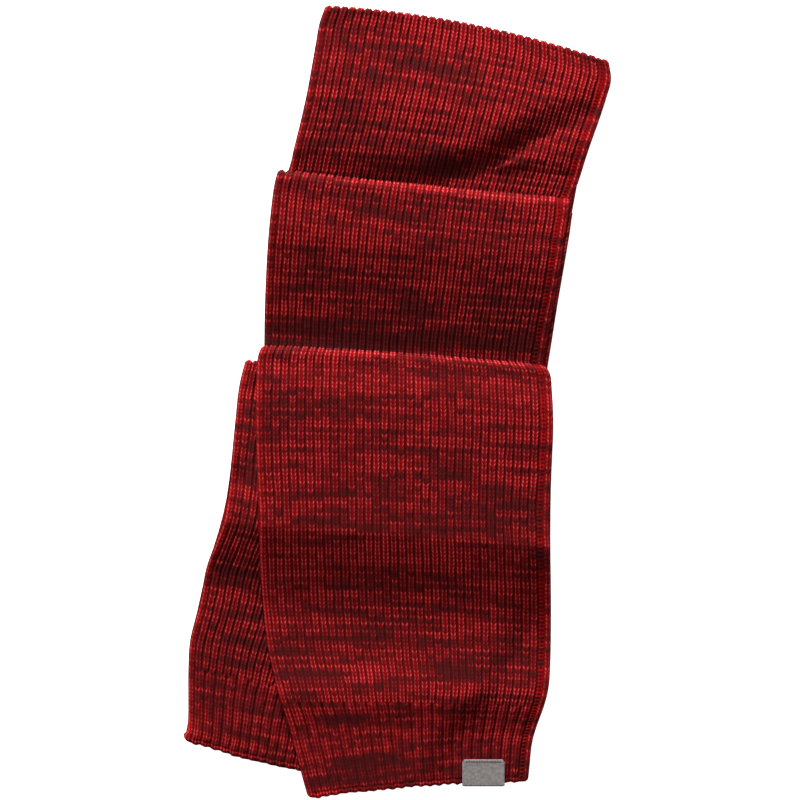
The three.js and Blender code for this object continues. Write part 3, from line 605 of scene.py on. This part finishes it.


# The panels. A tone patch gives more or less bright yarn in a broad patch: (amount, x, y, width, height). The
# patches are partly uneven yarn and partly painted shade and painted light; the darkest are painted shadow
# bands just above the folds and down the ramps.
frontPanel = {
    "node": "front_end_panel", "plan": frontPlan, "floor": frontFloor, "radius": wideRadius,
    "noseCentre": 4 * pitch - clearance / 2, "lip": 25, "lipHeight": 3 * pitch - clearance,
    "hem": 70, "seed": 1, "selvageTone": 0.3,
    "paintedShadeAndTonePatches": (
        (0.04, 0, 18, 400, 10), (0.12, -20, -4, 70, 12), (-0.1, 0, -85, 400, 40), (-0.6, 85, -98, 50, 12),
        (0.15, -95, -125, 30, 35), (0.12, 100, -125, 35, 30), (-0.5, -80, -212, 50, 22),
        (-0.3, 90, -210, 40, 28), (0.08, 0, -250, 400, 25), (-0.45, 20, -292, 90, 12)),
}
backPanel = {
    "node": "back_end_panel", "plan": backPlan, "floor": backFloor, "droop": backDroop,
    "radius": narrowRadius, "noseCentre": 4 * pitch - clearance / 2,
    "lip": 9, "lipHeight": 4 * pitch - clearance,
    "hem": 62, "seed": 2, "finePart": 0.62, "cornerCurl": 2.6, "selvageTone": 0.3,
    "paintedShadeAndTonePatches": (
        (-0.5, -114, -42, 9, 24), (0.45, -140, -112, 30, 12), (-0.9, -130, -136, 28, 9),
        (-0.2, -130, -168, 40, 20), (-0.4, -145, -218, 45, 24)),
}
middlePanel = {
    "node": "middle_panel", "plan": middlePlan, "floor": middleFloor, "radius": wideRadius,
    "noseCentre": 4 * pitch - clearance / 2, "lip": 25, "lipHeight": 3 * pitch - clearance,
    "hem": 0, "seed": 3, "fineFrom": 158,
    "paintedShadeAndTonePatches": (
        (0.25, 15, 140, 50, 11), (-0.2, 10, 115, 60, 12), (-0.15, 0, 75, 400, 30), (-0.4, -20, 68, 45, 14),
        (-0.8, 0, 46, 400, 11), (0.3, 112, 90, 26, 34), (0.25, -95, 92, 20, 20)),
}
topPanel = {
    "node": "top_panel", "plan": topPlan, "floor": topFloor, "radius": narrowRadius,
    "noseCentre": pitch - clearance / 2, "lip": 15, "lipHeight": 4.0,
    "hem": 0, "seed": 4, "fineFrom": 146,
    "paintedShadeAndTonePatches": (
        (-0.28, -38, 252, 45, 30), (0.22, 85, 278, 45, 30), (0.2, 130, 238, 30, 25), (-0.25, 75, 212, 35, 12),
        (-0.9, 15, 185, 60, 11), (0.7, 124, 186, 24, 14)),
}


def panelPoints(panel, u, stations, height, pull=0):
    column = {key: values[:, None] for key, values in stations.items()}
    distance = column["distance"] + height * column["along"] - pull
    x, y = panel["plan"]["at"](u, distance)
    droop = panel["droop"](x, y) if "droop" in panel else 0
    base = np.where(column["isFlat"] > 0, panel["floor"](x, y), column["height"] - droop)
    return np.stack([x, y, base + height * column["up"]], axis=-1)


# Places of the points across a rib: of the body's stitches, and even ones for the hem
legPlaces = (0, 0.14, 0.25, 0.36, 0.5, 0.64, 0.75, 0.86)
evenPlaces = tuple(k / len(legPlaces) for k in range(len(legPlaces)))
hemEnd = {
    "reach": 9, "cornerRound": 5, "cornerPull": 3.5, "round": 2.0, "thickness": 1.4,
    "scallop": 0.55, "draw": 0.4,
}
inside = {"height": 1.1, "edgeRound": 2.5, "columns": 25, "pull": 0.9, "rowsPerPoint": 9}
wander = {"broad": 0.35, "fine": 0.2, "fromEdge": 40}
cornerCurl = {"share": 0.04, "place": 3.5, "length": 4.5}
# painted shade: the yarn is made a little darker round the fold noses
foldPaintedShade = -0.05


def hemRibs(u):
    part = (u - cloth["leftSelvage"]) / (cloth["rightSelvage"] - cloth["leftSelvage"])
    return np.clip(part, 0, 1) * cloth["hemRibs"]


def endPull(u, end, scallop):
    # how far the hem's end is drawn in: between its ribs and at its two corners
    corner = hemEnd["cornerPull"] * (1 - roundOver(edgeDistance(u) / hemEnd["cornerRound"]))
    return (scallop + corner) * np.clip(1 - end / hemEnd["reach"], 0, 1)


# The hem's end is rounded over and a little scalloped by its ribs
def finishHem(panel, u, end, height):
    thinnest = hemEnd["thickness"]
    height = thinnest + (height - thinnest) * roundOver(end / hemEnd["round"])
    uneven = 0.5 * smoothNoise(u * 14 + panel["seed"], 0 * u) + 0.3 * smoothNoise(u * 40, 0 * u)
    scallop = hemEnd["scallop"] * np.cos(2 * np.pi * hemRibs(u)) - hemEnd["draw"] + uneven
    return height, endPull(u, end, scallop)


# The plain inner side of a panel's wall, with fewer points
def innerSide(panel, stations):
    u = np.concatenate([[0, 0.006, 0.02], np.linspace(0.05, 0.95, inside["columns"]), [0.98, 0.994, 1]])
    last = len(stations["distance"]) - 1
    rows = np.arange(0, last + 1, inside["rowsPerPoint"])
    kept = np.unique(np.concatenate([rows, [last], np.flatnonzero(stations["isFlat"] == 0)[::2]]))
    stations = {key: values[kept] for key, values in stations.items()}
    height = inside["height"] * (1 - roundOver(edgeDistance(u) / inside["edgeRound"]))
    height = np.broadcast_to(height, (len(kept), len(u)))
    end = stations["along cloth"][:, None]
    pull = endPull(u, end, inside["pull"]) if panel["hem"] else 0
    points = panelPoints(panel, u, stations, height, pull)
    legs = np.broadcast_to(u * legsAcross, height.shape)
    course = np.broadcast_to(end / cloth["course"], height.shape)
    return points, np.stack([legs, course, np.zeros_like(height)], axis=-1)


def buildPanel(panel):
    finePart, seed = panel.get("finePart", 1.0), panel["seed"]
    stations = panelStations(panel)
    end = stations["along cloth"][:, None]
    inHem = easeInOut((panel["hem"] + 1.5 - end) / 4) if panel["hem"] else 0 * end
    bodyColumns, hemColumns = (clothColumns(places, finePart) for places in (legPlaces, evenPlaces))
    u = bodyColumns * (1 - inHem) + hemColumns * inHem
    end = end + 0 * u
    onFold = easeInOut((panel["radius"] + 3 - stations["distance"][:, None]) / 6)
    height, legs, course, sunk = knitRelief(u, end, inHem, onFold, finePart, seed)
    plain = stations["plain"][:, None]
    height = height * (1 - plain) + np.minimum(height, cloth["plainLip"]) * plain
    pull = 0
    if panel["hem"]:
        height, pull = finishHem(panel, u, end, height)

    # the wales wander a little sideways, and a loose corner curls
    wobble = wander["broad"] * smoothNoise(u * 60 + 9 * seed, course * 0.3)
    wobble = wobble + wander["fine"] * smoothNoise(u * 140, course * 0.7)
    wobble = wobble * np.clip(np.minimum(u, 1 - u) * wander["fromEdge"], 0, 1)
    curl = bellAt(end, cornerCurl["place"], cornerCurl["length"]) * np.clip(1 - u / cornerCurl["share"], 0, 1)
    wobble = wobble - panel.get("cornerCurl", 0) * curl
    outer = panelPoints(panel, u + wobble / cloth["width"], stations, height, pull)
    outerCloth = np.stack([legs, course + 40 * seed, sunk], axis=-1)
    inner, innerCloth = innerSide(panel, stations)
    mesh = newMesh()
    addWall(mesh, outer, inner, outerCloth, innerCloth, (0, 0, 1, 1))

    # painted shade and light: the patches darken the yarn where shade falls above the folds and down the
    # ramps, and brighten it elsewhere
    toneAndPaintedShade = sum(amount * bellAt(outer[..., 0], x, width) * bellAt(outer[..., 1], y, tall)
               for amount, x, y, width, tall in panel["paintedShadeAndTonePatches"])
    # painted shade on the fold noses
    toneAndPaintedShade = toneAndPaintedShade + foldPaintedShade * (1 - stations["isFlat"][:, None])
    toneAndPaintedShade = toneAndPaintedShade + panel.get("selvageTone", 0) * np.clip(1.5 - 40 * u, 0, 1)
    mesh["toneAndPaintedShade"] = np.concatenate([toneAndPaintedShade.ravel(), np.zeros(inner[..., 0].size)])
    piece = makePiece(panel["node"] + "_cloth", mesh, knit)
    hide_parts(panel["node"])


for panel in (frontPanel, backPanel, middlePanel, topPanel):
    buildPanel(panel)


# The hidden layers: each is a strip of cloth along a path of lines that run across the scarf
def lineBetween(fromLine, fromOffset, toLine, toOffset, t):
    def lineAt(x):
        return (fromLine(x) + fromOffset) * (1 - t) + (toLine(x) + toOffset) * t
    return lineAt


def pathRun(fromLine, fromOffset, toLine, toOffset, height, steps):
    lines = [lineBetween(fromLine, fromOffset, toLine, toOffset, k / steps) for k in range(steps + 1)]
    return [(line, 0, height) for line in lines]


def pathArc(line, offset, height, radius, fromDegrees, toDegrees, steps):
    angles = [math.radians(fromDegrees + (toDegrees - fromDegrees) * k / steps) for k in range(steps + 1)]
    return [(line, offset + radius * math.cos(a), height + radius * math.sin(a)) for a in angles]


def hiddenPlace(line, offset, u):
    # the edges lean, so the place is found in a few rounds
    x = np.zeros_like(u)
    for _ in range(6):
        y = line(x) + offset
        left = np.interp(y, hiddenRows[:, 1], hiddenRows[:, 0])
        right = np.interp(y, hiddenRows[:, 3], hiddenRows[:, 2])
        x = left + (right - left) * u
    return x, y


halfCloth = cloth["thickness"] / 2
wideMid, narrowMid = wideRadius - halfCloth, narrowRadius - halfCloth
returnWide, returnNarrow = 3 * pitch + halfCloth, 2 * pitch + halfCloth
upperNose = 4 * pitch - clearance / 2


def rampPath():
    offsets = np.linspace(-secondPleat["ramp"], wideRadius, 40)
    heights = halfCloth + rampHeight(offsets, secondPleat)
    return [(secondBackFold, offset, height) for offset, height in zip(offsets, heights)]


longPath = (
    pathRun(firstFold, -24.5, firstBackFold, wideRadius, returnWide, 24)
    + pathArc(firstBackFold, wideRadius, wideRadius, wideMid, 90, 270, 18)[1:]
    + pathRun(firstBackFold, wideRadius, secondBackFold, -secondPleat["ramp"], halfCloth, 16)[1:]
    + rampPath()[1:]
    + pathRun(secondBackFold, wideRadius, secondFold, -narrowInset, halfCloth + liftHeight, 12)[1:]
    + pathArc(secondFold, -narrowInset, upperNose, narrowMid, 90, -90, 8)[1:]
    + pathRun(secondFold, -narrowInset, secondBackFold, wideRadius, returnWide, 12)[1:]
    + pathArc(secondBackFold, wideRadius, wideRadius, wideMid, 90, 270, 18)[1:]
    + pathRun(secondBackFold, wideRadius, topFold, -15.6, halfCloth, 110)[1:]
)
firstReturn = (
    pathRun(firstFold, -26, firstBackFold, wideRadius, returnNarrow, 16)
    + pathArc(firstBackFold, wideRadius, wideRadius, narrowMid, 90, 270, 8)[1:]
)
secondReturn = (
    pathRun(secondFold, -26, secondBackFold, wideRadius, returnNarrow, 10)
    + pathArc(secondBackFold, wideRadius, wideRadius, narrowMid, 90, 270, 8)[1:]
)


def addStrip(mesh, path, tile):
    u = np.concatenate([[0, 0.004, 0.012, 0.025], np.linspace(0.06, 0.94, 21), [0.975, 0.988, 0.996, 1]])
    rows = []
    for line, offset, height in path:
        x, y = hiddenPlace(line, offset, u)
        rows.append(np.stack([x, y, np.full_like(u, height)], axis=-1))
    middle = np.array(rows)
    along = np.gradient(middle, axis=0)
    normal = np.stack([np.zeros_like(along[..., 1]), -along[..., 2], along[..., 1]], axis=-1)
    normal /= np.linalg.norm(normal, axis=-1, keepdims=True)
    arc = np.concatenate([[0], np.cumsum(np.linalg.norm(np.diff(middle[:, 12], axis=0), axis=-1))])
    swing = (0.9 + roundOver(edgeDistance(u) / inside["edgeRound"]))[None, :] * np.ones((len(path), 1))
    outer = middle + normal * swing[..., None]
    inner = middle - normal * swing[..., None]
    legs = np.broadcast_to(legsAcross * u, swing.shape)
    course = np.broadcast_to(arc[:, None] / cloth["course"], swing.shape)
    coordinates = np.stack([legs, course, np.broadcast_to(0.2, swing.shape)], axis=-1)
    addWall(mesh, outer, inner, coordinates, coordinates, tile)
    return arc[-1]


hiddenMesh = newMesh()
hiddenLength = addStrip(hiddenMesh, longPath, (0, 0, 1, 0.6))
hiddenLength += addStrip(hiddenMesh, firstReturn, (0, 0.61, 1, 0.19))
hiddenLength += addStrip(hiddenMesh, secondReturn, (0, 0.81, 1, 0.19))
hidden = makePiece("hidden_layers_cloth", hiddenMesh, knit)
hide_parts("hidden_layers")
print("made", hidden.name, "flat length", round(hiddenLength * millimetre, 3))

# The label: a short tape laid on the front hem and folded down over its end
label = {
    "left": 51.7, "right": 85.4, "top": -284.6, "bottom": -305.2, "thickness": 0.8, "cornerCut": 1.9,
    "cornerWidth": 0.06, "overEnd": 3.4, "darkest": (0.155, 0.138, 0.134), "palest": (0.27, 0.243, 0.236),
}
labelSeam = {
    "stitches": 14, "length": 1.6, "width": 0.8, "inset": 1.8, "margin": 2.5, "lift": 0.1, "flatness": 0.7,
    "darkest": (0.03, 0.022, 0.021), "palest": (0.08, 0.06, 0.058),
}
weaveTurn = 9000.0  # radians a metre, about 1430 threads


def tapeMaterial(name, darkest, palest):
    material = bpy.data.materials.new(name)
    material.use_nodes = True
    add, maths = nodeMaker(material)
    place = add("ShaderNodeTexCoord").outputs["Object"]
    axes = add("ShaderNodeSeparateXYZ", {"Vector": place})
    weft = maths("SINE", maths("MULTIPLY", axes.outputs[0], weaveTurn))
    warp = maths("SINE", maths("MULTIPLY", axes.outputs[1], weaveTurn))
    weave = maths("MULTIPLY", weft, warp)
    grain = add("ShaderNodeTexNoise", {"Vector": place, "Scale": 420.0, "Detail": 4.0}).outputs[0]
    ramp = add("ShaderNodeValToRGB", {0: maths("ADD", grain, maths("MULTIPLY", weave, 0.05))})
    ramp.color_ramp.elements[0].position, ramp.color_ramp.elements[1].position = 0.3, 0.7
    ramp.color_ramp.elements[0].color = (*darkest, 1)
    ramp.color_ramp.elements[1].color = (*palest, 1)
    bump = add("ShaderNodeBump", {"Height": maths("ADD", weave, grain), "Strength": 0.4, "Distance": 0.0002})
    shader = add("ShaderNodeBsdfPrincipled", {
        "Base Color": ramp.outputs[0], "Roughness": 0.8, "Normal": bump.outputs[0],
        "Specular IOR Level": 0.3})
    add("ShaderNodeOutputMaterial", {"Surface": shader.outputs[0]})
    return material


def labelFloor(x, y):
    return frontFloor(x, y) + cloth["thickness"] + clearance


def labelSide(thickness):
    t = np.concatenate([[0, 0.03, 0.06], np.linspace(0.1, 0.9, 21), [0.94, 0.97, 1]])
    x = label["left"] + (label["right"] - label["left"]) * t
    corner = np.clip(1 - np.minimum(t, 1 - t) / label["cornerWidth"], 0, 1)
    lines = np.concatenate([np.linspace(label["top"], label["bottom"] + 0.5, 22), [label["bottom"]] * 2])
    rows = []
    for k, line in enumerate(lines):
        turned = k >= len(lines) - 2
        y = np.minimum(line, label["top"] - label["cornerCut"] * corner)
        y = y + 0.5 * corner * turned - thickness * turned
        z = labelFloor(x, y) + thickness - (label["overEnd"] + thickness) * (k == len(lines) - 1)
        rows.append(np.stack([x, y, z], axis=-1))
    return np.array(rows)


def buildLabel():
    outer, inner = labelSide(label["thickness"]), labelSide(0.0)
    places = np.zeros_like(outer)
    mesh = newMesh()
    addWall(mesh, outer[::-1], inner[::-1], places, places, (0, 0, 1, 1))
    tape = tapeMaterial("label tape", label["darkest"], label["palest"])
    piece = makePiece("label_tape", mesh, tape)
    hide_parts("label")
    print("made", piece.name)
    return piece


def buildLabelSeam():
    # short raised stitches side by side just under the label's top edge
    mesh = newMesh()
    angle = np.linspace(0, 2 * np.pi, 9)
    reach = np.linspace(-1, 1, 7)[:, None]
    halfWidth = labelSeam["width"] / 2 * np.sqrt(np.clip(1 - reach ** 2, 0.02, 1))
    count = labelSeam["stitches"]
    step = (label["right"] - label["left"] - 2 * labelSeam["margin"]) / count
    y = label["top"] - labelSeam["inset"]
    for k in range(count):
        x = label["left"] + labelSeam["margin"] + (k + 0.5) * step
        z = float(labelFloor(np.array(x), np.array(y))) + label["thickness"] + labelSeam["lift"]
        along = x + labelSeam["length"] / 2 * reach
        across = y + halfWidth * np.cos(angle)
        up = z + halfWidth * labelSeam["flatness"] * np.sin(angle)
        sections = np.stack([np.broadcast_to(along, across.shape), across, up], axis=-1)
        addTube(mesh, sections, (k / count, 0, 1 / count, 1))
    thread = tapeMaterial("label thread", labelSeam["darkest"], labelSeam["palest"])
    piece = makePiece("label_stitches", mesh, thread)
    print("made", piece.name)


labelPiece = buildLabel()
buildLabelSeam()

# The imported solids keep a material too, though the cloth stands for them
for name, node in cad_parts.items():
    node.data.materials.clear()
    node.data.materials.append(labelPiece.data.materials[0] if name == "label" else knit)


# Stage, light and camera
floorReach = 6.0
floorGap = 0.0005
view = {"width": 0.6344, "centre": (0.0016, 0.0009), "lens": 150, "sensor": 36, "depth": 0.01}


def stageMaterial():
    material = bpy.data.materials.new("pale floor")
    material.use_nodes = True
    add = nodeMaker(material)[0]
    shader = add("ShaderNodeBsdfPrincipled", {
        "Base Color": (0.85, 0.85, 0.85, 1), "Roughness": 0.9,
        "Emission Color": (1, 1, 1, 1), "Emission Strength": 1.0})
    add("ShaderNodeOutputMaterial", {"Surface": shader.outputs[0]})
    return material


def buildStage():
    data = bpy.data.meshes.new("floor")
    sides = ((-1, -1), (1, -1), (1, 1), (-1, 1))
    data.from_pydata([(floorReach * a, floorReach * b, -floorGap) for a, b in sides], [], [(0, 1, 2, 3)])
    data.materials.append(stageMaterial())
    floor = bpy.data.objects.new("floor", data)
    bpy.context.scene.collection.objects.link(floor)


def addLight(name, place, size, power, colour=(1, 1, 1)):
    data = bpy.data.lights.new(name, "AREA")
    data.shape = "DISK"
    data.size, data.energy, data.color = size, power, colour
    lamp = bpy.data.objects.new(name, data)
    lamp.location = place
    lamp.rotation_mode = "QUATERNION"
    lamp.rotation_quaternion = (-Vector(place)).to_track_quat("-Z", "Y")
    bpy.context.scene.collection.objects.link(lamp)


def addCamera():
    data = bpy.data.cameras.new("overhead camera")
    data.lens, data.sensor_width = view["lens"], view["sensor"]
    camera = bpy.data.objects.new("overhead camera", data)
    camera.location = (*view["centre"], view["width"] * view["lens"] / view["sensor"] + view["depth"])
    bpy.context.scene.collection.objects.link(camera)
    bpy.context.scene.camera = camera


buildStage()
addLight("key", (-0.9, 4.0, 1.76), 1.8, 530)
addLight("overhead", (0.3, -0.4, 2.6), 1.6, 12)
world = bpy.data.worlds.new("studio")
world.use_nodes = True
world.node_tree.nodes["Background"].inputs[0].default_value = (1, 1, 1, 1)
world.node_tree.nodes["Background"].inputs[1].default_value = 0.1
bpy.context.scene.world = world
addCamera()
bpy.context.scene.view_settings.view_transform = "Standard"
print("stage, lights and camera are set")
